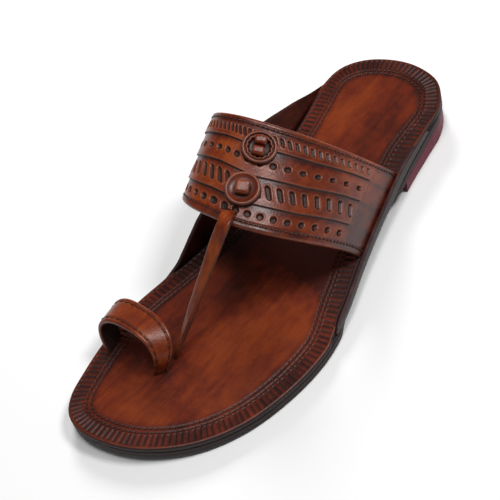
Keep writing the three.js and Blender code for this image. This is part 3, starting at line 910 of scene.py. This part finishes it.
def punch_distance(row, across, run):
    """How far a spot is outside the nearest punched shape of a row."""
    along = run - row["lean"] * (across - row["across"])
    first, final = np.interp([row["first"], run_total - row["first"]], arc_run, stepped)
    steps = (np.interp(along, arc_run, stepped) - first) / row["pitch"]
    nearest = np.clip(np.round(steps), 0, int((final - first) / row["pitch"]))
    away = along - np.interp(first + nearest * row["pitch"], stepped, arc_run)
    reach = np.maximum(np.abs(across - row["across"]) - row["half"], 0)
    return np.hypot(reach, away) - row["radius"]


def band_relief(across, run):
    """Height, darkness and lightness of the band's face: inked cut edges, painted shade in the seams,
    holes and slit, and painted highlight on the strips' raised edges and the holes' lips.
    """
    strips = ease(run, plain_end - 1.2, plain_end) * ease(run_total - run, plain_end - 1.2, plain_end)
    height = np.zeros(np.broadcast(across, run).shape)
    dark = np.zeros_like(height)
    worn_and_lit = np.zeros_like(height)
    ends = [*strip_lines[1:], seam_lines[1] - 1.5]
    for line, end in zip(strip_lines, ends):
        share = np.clip((across - line) / (end - line), 0, 1)
        on_strip = (across >= line) & (across <= end)
        height += np.where(on_strip, strip_step * (1 - share) ** 1.2, 0) * strips
        dark = np.maximum(dark, (1 - ease(np.abs(across - line + 0.22), 0.15, 0.5)) * strips)
        # A painted highlight runs along each strip's raised edge.
        worn_and_lit = np.maximum(worn_and_lit, (1 - ease(np.abs(across - line - 0.5), 0.2, 0.6)) * strips * 0.5)
    for line in seam_lines:
        seam = 1 - ease(np.abs(across - line), 0.25, 1.0)
        height -= 0.38 * seam
        # The seam groove is painted darker as shade.
        dark = np.maximum(dark, 0.35 * seam)
    for row in punching:
        gap_to = punch_distance(row, across, run)
        pit = 1 - ease(gap_to, -0.42, 0.12)
        lip = np.exp(-(((gap_to - 0.45) / 0.28) ** 2))
        height += 0.14 * lip - punch_depth * min(1, row["radius"] / 1.2) * pit
        # The holes are painted near-black as shade; their lips carry a painted highlight.
        dark = np.maximum(dark, 0.92 * (1 - ease(gap_to, -0.3, 0.2)))
        worn_and_lit = np.maximum(worn_and_lit, 0.55 * lip)
    # The slit is painted dark as shade.
    slit_run = run_at(slit_angle)
    slit = (1 - ease(np.abs(across - slit_across), 0.35, 0.8)) * (
        1 - ease(np.abs(run - slit_run), slit_half - 0.4, slit_half)
    )
    return height - 1.2 * slit, np.maximum(dark, slit), worn_and_lit * (1 - dark)


def folded_section(width, thickness, edge_radius, face, inner_count):
    """Distances across and offsets in round a folded strap: its edge, face, edge and inside."""
    turns = np.linspace(0, math.pi, 9)[1:-1]
    edge = edge_radius * (1 - np.sin(turns))
    depth = -thickness / 2 * (1 + np.cos(turns))
    inside = np.linspace(width - edge_radius, edge_radius, inner_count)
    across = np.r_[edge, face, (width - edge)[::-1], inside]
    offset = np.r_[depth, np.zeros(len(face)), depth[::-1], np.full(inner_count, -thickness)]
    return across, offset


def band_columns():
    """Distances across the band's face, close together at each cut edge."""
    even = np.linspace(edge_round, band_width - edge_round, 128)
    cuts = [line + step for line in strip_lines for step in (-0.45, -0.06, 0.06, 0.4)]
    far = [x for x in even if min(abs(x - c) for c in cuts) > 0.12]
    return np.array(sorted(far + cuts))


face = band_columns()
inner_count = 12
across, base = folded_section(band_width, band_thickness, edge_round, face, inner_count)
turned_count = (len(across) - len(face) - inner_count) // 2
turned_over = ease(np.linspace(0, 1, turned_count), 0.4, 1)
outer = np.r_[turned_over, np.ones(len(face)), turned_over[::-1], np.zeros(inner_count)]
band_steps = 500
angle = np.interp(np.linspace(0, run_total, band_steps), arc_run, arc_angles)[:, None]
relief, dark, worn_and_lit = band_relief(across[None, :], run_at(angle))
rings = arch_offset(
    band_at, band_place(across[None, :], angle), angle, base[None, :] + relief * outer[None, :]
)
edge_line = np.exp(-((np.minimum(across, band_width - across) / 0.9) ** 2))[None, :]
worn_and_lit = np.maximum(worn_and_lit, 0.45 * edge_line * outer[None, :])
# The band's inside is painted dark as shade.
inside = (base < -2.9)[None, :] * np.ones_like(angle)
band_leather = leather(
    "punched_band_leather", "#3A1008", "#682407", "#8C3E0C", 0.35, 0.5, 0.12
)
# Painted shadow: the face just in front of each strip's cut edge and each seam is darkened, and the
# band is darker towards its outer foot.
shadow_before_edges = sum(np.exp(-(((across - line + 1.2) / 1.6) ** 2)) for line in [*strip_lines, *seam_lines])
shade = -0.28 * shadow_before_edges[None, :] - 0.3 * (1 - ease(run_at(angle), 16, 27))
band = make_piece(
    "band_punched", rings.reshape(-1, 3), tube(rings), band_leather,
    recess=np.maximum(dark * outer[None, :], 0.8 * inside), wear=worn_and_lit, dye=shade,
)
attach(band, "root")
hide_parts("upper")

# The folded edges are sewn with dark waxed thread, one row along the front and one along the rear.
band_seams = []
seam_angle = np.interp(np.linspace(3, run_total - 3, 700), arc_run, arc_angles)
for line in seam_lines:
    place = band_place(line, seam_angle)
    band_seams.append((
        arch_offset(band_at, place, seam_angle, -0.1), arch_normal(band_at, place, seam_angle)
    ))
band_thread = stitch_run(
    "band_stitches", band_seams, False, dark_thread,
    Pitch=2.5 * MM, Length=1.9 * MM, Width=0.95 * MM, Height=0.8 * MM, Slant=0.12, Seed=7,
)
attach(band_thread, "root")

# ---------------------------------------------------------------- T-strap
# A single thong passes up through a slit behind the band's front edge, laps over that edge and
# runs down to the toe slot. It is creased along its sides and turns edge-on before it goes in.
strap_thickness = 2.4
strap_folds = [
    {"x": 1.1, "y": -39.9, "z": 56.4, "width": 7.2, "turn": 2},
    {"x": -0.6, "y": -48.3, "z": 46.2, "width": 6.6, "turn": 6},
    {"x": -2.2, "y": -56.3, "z": 36.5, "width": 6.2, "turn": 12},
    {"x": -3.8, "y": -64.3, "z": 26.8, "width": 6.0, "turn": 22},
    {"x": -5.4, "y": -71.8, "z": 17.6, "width": 5.7, "turn": 38},
    {"x": -6.6, "y": -77.2, "z": 10.8, "width": 5.4, "turn": 54},
    {"x": -7.1, "y": -79.2, "z": 6.6, "width": 5.2, "turn": 64},
]


def rounded_bar(width, thickness, corner, steps):
    """Points round a flat bar's section, counter-clockwise, with round corners."""
    centres = [(1, 1), (-1, 1), (-1, -1), (1, -1)]
    points = []
    for k, (sx, sy) in enumerate(centres):
        for turn in np.linspace(0, math.pi / 2, steps):
            a = turn + k * math.pi / 2
            points.append((
                sx * (width / 2 - corner) + corner * math.cos(a),
                sy * (thickness / 2 - corner) + corner * math.sin(a),
            ))
        if k in (0, 2):
            for share in (0.2, 0.35, 0.5, 0.65, 0.8):
                x = sx * (width / 2 - corner) * (1 - 2 * share)
                points.append((x, sy * thickness / 2))
    return np.array(points)


def strap_rings():
    slit = arch_offset(band_at, slit_across / band_width, slit_angle, -1.7)
    lip = arch_offset(band_at, -0.02, slit_angle, 0.95)
    line = [slit, lip, *([f["x"], f["y"], f["z"]] for f in strap_folds)]
    curve = smooth_curve(line, False, 320)
    spot = np.linspace(0, len(line) - 1, len(curve))
    folds = [strap_folds[0], strap_folds[0], *strap_folds]
    width = np.interp(spot, range(len(folds)), [f["width"] for f in folds])
    turn = np.radians(np.interp(spot, range(len(folds)), [f["turn"] for f in folds]))
    tangent = np.gradient(curve, axis=0)
    tangent /= np.linalg.norm(tangent, axis=1)[:, None]
    across = np.array([1.0, 0, 0]) - tangent * tangent[:, :1]
    across /= np.linalg.norm(across, axis=1)[:, None]
    side = np.cross(tangent, across)
    across = across * np.cos(turn)[:, None] + side * np.sin(turn)[:, None]
    outward = np.cross(across, tangent)
    rings, crease_shade_and_dark_edges = [], []
    for centre, right, out, breadth in zip(curve, across, outward, width):
        section = rounded_bar(breadth, strap_thickness, 0.75, 4)
        edge = breadth / 2 - np.abs(section[:, 0])
        crease = np.where(section[:, 1] > 0, 1 - ease(np.abs(edge - 1.3), 0.1, 0.45), 0)
        height = section[:, 1] - 0.16 * crease
        rings.append(centre + right * section[:, :1] + out * height[:, None])
        # The creases are painted darker as shade, and the cut edges are darker.
        crease_shade_and_dark_edges.append(0.45 * crease + 0.5 * (1 - ease(edge, 0.05, 0.4)))
    return np.array(rings), np.array(crease_shade_and_dark_edges)


rings, crease_shade_and_dark_edges = strap_rings()
strap = make_piece(
    "strap_thong", rings.reshape(-1, 3), tube(rings), band_leather,
    recess=crease_shade_and_dark_edges, dye=np.full(rings.shape[0] * rings.shape[1], 0.08),
)
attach(strap, "root")
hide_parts("upper")

# ---------------------------------------------------------------- toe loop
# The big-toe ring is a short folded strap, sewn near both edges and let into the insole on each
# side of the toe. Its edges are rubbed bright; its seam grooves are painted darker as shade, and its
# inside, the flesh side, is painted near-black as shade.
loop_thickness = 2.6
loop_sections = {
    "square": (2.48, 2.8), "rise": (24.8, 23), "sweep": (7, 14.4),
    "lateral_x": (-8.8, -4.6), "medial_x": (-38.5, -43), "lateral_y": (-95, -90),
    "medial_y": (-97.1, -85), "lateral_tuck": (6, 7), "medial_tuck": (11, 10),
}


def loop_at(place):
    arch = {
        key: front + (rear - front) * np.asarray(place, float)
        for key, (front, rear) in loop_sections.items()
    }
    arch["lateral_z"] = outsole_top(arch["lateral_y"]) + gap
    arch["medial_z"] = outsole_top(arch["medial_y"]) + gap
    return arch


loop_angles = np.radians(np.linspace(0, 180, 361))
crown = arch_point(loop_at(np.array([0.0, 1.0])), math.pi / 2)
loop_width = float(np.linalg.norm(crown[1] - crown[0]))
loop_line = arch_point(loop_at(0.5), loop_angles)
loop_run = np.r_[0, np.cumsum(np.linalg.norm(np.diff(loop_line, axis=0), axis=1))]
loop_seam_inset = 2.6
loop_seams = (loop_seam_inset, loop_width - loop_seam_inset)
loop_round = 1.1
face = np.linspace(loop_round, loop_width - loop_round, 44)
across, base = folded_section(loop_width, loop_thickness, loop_round, face, 10)
outer = (base > -1.2).astype(float)
angle = np.interp(np.linspace(0, loop_run[-1], 260), loop_run, loop_angles)[:, None]
seam = sum(1 - ease(np.abs(across - line), 0.2, 0.95) for line in loop_seams)
rings = arch_offset(
    loop_at, across[None, :] / loop_width, angle, (base - 0.35 * seam * outer)[None, :]
)
edge_line = np.exp(-((np.minimum(across, loop_width - across) / 0.8) ** 2))
shaded_flesh_side = base < -1.9
loop = make_piece(
    "toe_loop_sewn", rings.reshape(-1, 3), tube(rings), band_leather,
    recess=np.tile(np.maximum(0.4 * seam * outer, 0.92 * shaded_flesh_side), len(angle)),
    wear=np.tile(0.25 * edge_line * (base > -0.35), len(angle)),
    dye=np.full(len(across) * len(angle), 0.05),
)
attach(loop, "root")
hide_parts("toe_loop")

loop_paths = []
seam_angle = np.interp(np.linspace(2, loop_run[-1] - 2, 300), loop_run, loop_angles)
for line in loop_seams:
    place = np.full(len(seam_angle), line / loop_width)
    loop_paths.append((
        arch_offset(loop_at, place, seam_angle, -0.1), arch_normal(loop_at, place, seam_angle)
    ))
loop_thread = stitch_run(
    "toe_loop_stitches", loop_paths, False, dark_thread,
    Pitch=4.0 * MM, Length=2.6 * MM, Width=0.9 * MM, Height=0.8 * MM, Slant=0.05, Seed=11,
)
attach(loop_thread, "root")

# ---------------------------------------------------------------- rosettes and knots
# Two stamped leather discs sit on the band, each a cup with a rolled rim and a dark cut side. A
# thong comes up through the middle of each and is rolled into a tight knot that holds it down.
rosette_spots = {
    "rear": {"place": 0.731, "angle": math.radians(73.5)},
    "front": {"place": 0.325, "angle": math.radians(76.9)},
}
# Radius, height, darkness and lightness along each disc's top, from its side to its middle. The
# darkness is dark ink on the cut side and painted shade in the hollows and the middle; the lightness
# is a painted highlight on the rolled rims. The first three rows are its straight cut side.
side_rows = 3
rosette_profiles = {
    "rear": [
        (8.7, -3.2, 1, 0), (8.7, 0.6, 1, 0), (8.65, 2.3, 0.8, 0), (8.5, 2.8, 0.2, 0.3),
        (8.15, 3.1, 0, 0.5), (7.7, 3.2, 0, 0.3), (7.3, 3.05, 0, 0), (7.0, 2.7, 0.5, 0),
        (6.8, 2.2, 0.8, 0), (6.6, 2.25, 0.7, 0), (6.35, 2.75, 0.1, 0.5), (6.0, 2.9, 0, 0.6),
        (5.6, 2.6, 0.3, 0.2), (5.3, 1.7, 0.9, 0), (4.9, 1.1, 0.95, 0), (3.0, 0.9, 0.95, 0),
    ],
    "front": [
        (8.7, -3.2, 1, 0), (8.7, 0.6, 1, 0), (8.65, 2.2, 0.8, 0), (8.45, 2.85, 0.2, 0.4),
        (8.0, 3.2, 0, 0.6), (7.5, 3.2, 0, 0.3), (7.0, 2.9, 0, 0), (6.3, 2.5, 0, 0),
        (5.6, 2.2, 0.1, 0), (4.8, 2.0, 0.3, 0), (4.2, 1.9, 0.7, 0), (3.6, 1.8, 0.9, 0),
        (2.0, 1.7, 0.9, 0),
    ],
}
# The rear disc's inner rim is pinched into scallops.
scallops = 14
scallop_ring = 6.0
scallop_depth = 0.32


def seat(spot):
    """Origin on the band and three directions: rearward along the band, sideways, and out."""
    place, angle = spot["place"], spot["angle"]
    origin = arch_offset(band_at, place, angle, 0)
    up = arch_normal(band_at, place, angle)
    rearward = arch_offset(band_at, place + 0.02, angle, 0) - origin
    rearward = rearward - up * (rearward @ up)
    rearward /= np.linalg.norm(rearward)
    return origin, rearward, np.cross(up, rearward), up


def seated(points, spot):
    origin, rearward, sideways, up = seat(spot)
    return origin + points[:, :1] * rearward + points[:, 1:2] * sideways + points[:, 2:] * up


trim_leather = leather(
    "stamped_disc_leather", "#34100A", "#5A2010", "#743014", 0.36, 0.35, 0.2
)


def rosette(kind):
    rows = rosette_profiles[kind]
    fine = smooth_curve([row[:2] for row in rows[side_rows:]], False, 3 * (len(rows) - side_rows))
    share = np.linspace(side_rows, len(rows) - 1, len(fine))
    shape = np.vstack([np.array([row[:2] for row in rows[:side_rows]]), fine])
    spots = np.r_[np.arange(side_rows), share]
    dark = np.interp(spots, range(len(rows)), [row[2] for row in rows])
    worn_and_lit = np.interp(spots, range(len(rows)), [row[3] for row in rows])
    turn = np.linspace(0, 2 * math.pi, 112, endpoint=False)
    rings = []
    for radius, height in shape:
        wave = np.zeros(len(turn))
        if kind == "rear":
            nearness = math.exp(-(((radius - scallop_ring) / 0.7) ** 2))
            wave = scallop_depth * np.cos(scallops * turn) * nearness
        reach = radius + wave
        rings.append(np.stack([reach * np.cos(turn), reach * np.sin(turn),
                               np.full(len(turn), height)], 1))
    rings = np.array(rings)
    points = seated(rings.reshape(-1, 3), rosette_spots[kind])
    return make_piece(
        "rosette_" + kind + "_disc", points, tube(rings), trim_leather,
        recess=np.repeat(0.8 * dark, len(turn)), wear=np.repeat(worn_and_lit, len(turn)),
    )


for kind in ("rear", "front"):
    disc = rosette(kind)
    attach(disc, "root")
    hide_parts("rosette_" + kind)


def roll(length, breadth, height, low, offset, shift, tilt):
    """A rolled thong as rings: a soft bar with drawn-in ends, along the disc's own sideways."""
    spots = np.linspace(-1, 1, 25)
    rings = []
    for t in spots:
        end = (1 - abs(t) ** 5) ** 0.35 if abs(t) < 1 else 0.0
        end = 0.55 + 0.45 * end
        section = rounded_bar(breadth * end, height * end, min(breadth, height) * 0.3 * end, 4)
        x = section[:, 0] + offset
        z = section[:, 1] + low + height / 2 - 0.25 * abs(t) ** 3
        z = z + tilt * section[:, 0]
        rings.append(np.stack([x, np.full(len(x), t * length / 2 + shift), z], 1))
    return np.array(rings)


# Rolls of each knot: length, breadth, height, lowest point, place along the band, sideways, tilt.
knot_rolls = {
    "rear": [
        (6.0, 4.4, 4.3, 1.7, 2.8, 0.0, 0.08), (5.8, 4.4, 4.1, 1.7, -2.8, 0.0, 0.08),
        (4.2, 3.2, 1.6, 1.2, 0.0, 0.0, 0.0),
    ],
    "front": [(7.4, 6.6, 4.0, 1.8, 0.0, 0.0, 0.08)],
}
for kind, rolls in knot_rolls.items():
    points, faces, cuts = [], [], []
    for size in rolls:
        rings = roll(*size)
        first = sum(len(p) for p in points)
        points.append(seated(rings.reshape(-1, 3), rosette_spots[kind]))
        faces += [[first + i for i in f] for f in tube(rings)]
        inner = np.zeros(rings.shape[:2])
        inner[[0, -1]] = 0.6
        cuts.append(inner.ravel())
    knot = make_piece(
        "knot_" + kind + "_thong", np.vstack(points), faces, band_leather,
        recess=np.concatenate(cuts), dye=np.full(sum(len(p) for p in points), 0.05),
    )
    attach(knot, "root")
    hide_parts("knot_" + kind)

# ---------------------------------------------------------------- floor, light and camera
# A plain white floor under a dim sky. A broad soft lamp hangs nearly overhead, a small bright one
# over the outer side gives the band its highlight, and one behind the inner side throws the soft
# shadow towards the toe without showing in the leather's shine.
floor_half = 6.0
corners = [(-1, -1), (1, -1), (1, 1), (-1, 1)]
floor_mesh = bpy.data.meshes.new("floor")
floor_mesh.from_pydata([(x * floor_half, y * floor_half, 0) for x, y in corners], [], [(0, 1, 2, 3)])
floor = bpy.data.objects.new("floor", floor_mesh)
bpy.context.scene.collection.objects.link(floor)
paper = bpy.data.materials.new("white_paper_backdrop")
paper.use_nodes = True
paper_shader = paper.node_tree.nodes["Principled BSDF"]
paper_shader.inputs["Base Color"].default_value = linear("#F4F4F4")
paper_shader.inputs["Roughness"].default_value = 0.9
floor_mesh.materials.append(paper)

sky = bpy.data.worlds.new("white_sky")
sky.use_nodes = True
sky_light = sky.node_tree.nodes["Background"]
sky_light.inputs["Color"].default_value = (1, 1, 1, 1)
sky_light.inputs["Strength"].default_value = 0.13
bpy.context.scene.world = sky
bpy.context.scene.view_settings.view_transform = "Standard"
# The spot that the camera and the lamps face, beside the middle of the sandal.
middle = np.array([-15.752, -9.952, 12.0]) * MM


def lamp(name, towards, distance, size, watts):
    """A square soft lamp that faces the sandal from a direction."""
    towards = np.array(towards) / np.linalg.norm(towards)
    data = bpy.data.lights.new(name, "AREA")
    data.shape = "SQUARE"
    data.size = size
    data.energy = watts
    light = bpy.data.objects.new(name, data)
    light.location = middle + towards * distance
    light.rotation_euler = Vector(towards).to_track_quat("Z", "Y").to_euler()
    bpy.context.scene.collection.objects.link(light)
    return light


lamp("overhead_lamp", (0.1, -0.1, 1.0), 1.3, 0.45, 6.5)
lamp("highlight_lamp", (0.40, 0.30, 0.86), 1.0, 0.24, 4.8)
side_lamp = lamp("side_lamp", (-0.62, 0.55, 0.56), 1.3, 0.4, 9.5)
side_lamp.visible_glossy = False

# The camera looks down on the toe from the outer side, rolled so that the toe points down left.
azimuth, elevation, roll_angle = (math.radians(a) for a in (53.8967, 46.5216, -18.6434))
distance = 636.363 * MM
back = np.array([
    math.sin(azimuth) * math.cos(elevation), -math.cos(azimuth) * math.cos(elevation),
    math.sin(elevation),
])
level = np.cross(-back, (0, 0, 1))
level /= np.linalg.norm(level)
upright = np.cross(level, -back)
right = math.cos(roll_angle) * level + math.sin(roll_angle) * upright
upward = -math.sin(roll_angle) * level + math.cos(roll_angle) * upright
lens = bpy.data.cameras.new("camera")
lens.sensor_width = 36.0
lens.lens = 89.168
lens.clip_start, lens.clip_end = 0.01, 20.0
camera = bpy.data.objects.new("camera", lens)
bpy.context.scene.collection.objects.link(camera)
turned = np.eye(4)
turned[:3, :3] = np.stack([right, upward, back], 1)
turned[:3, 3] = middle + back * distance
camera.matrix_world = Matrix(turned.tolist())
bpy.context.scene.camera = camera
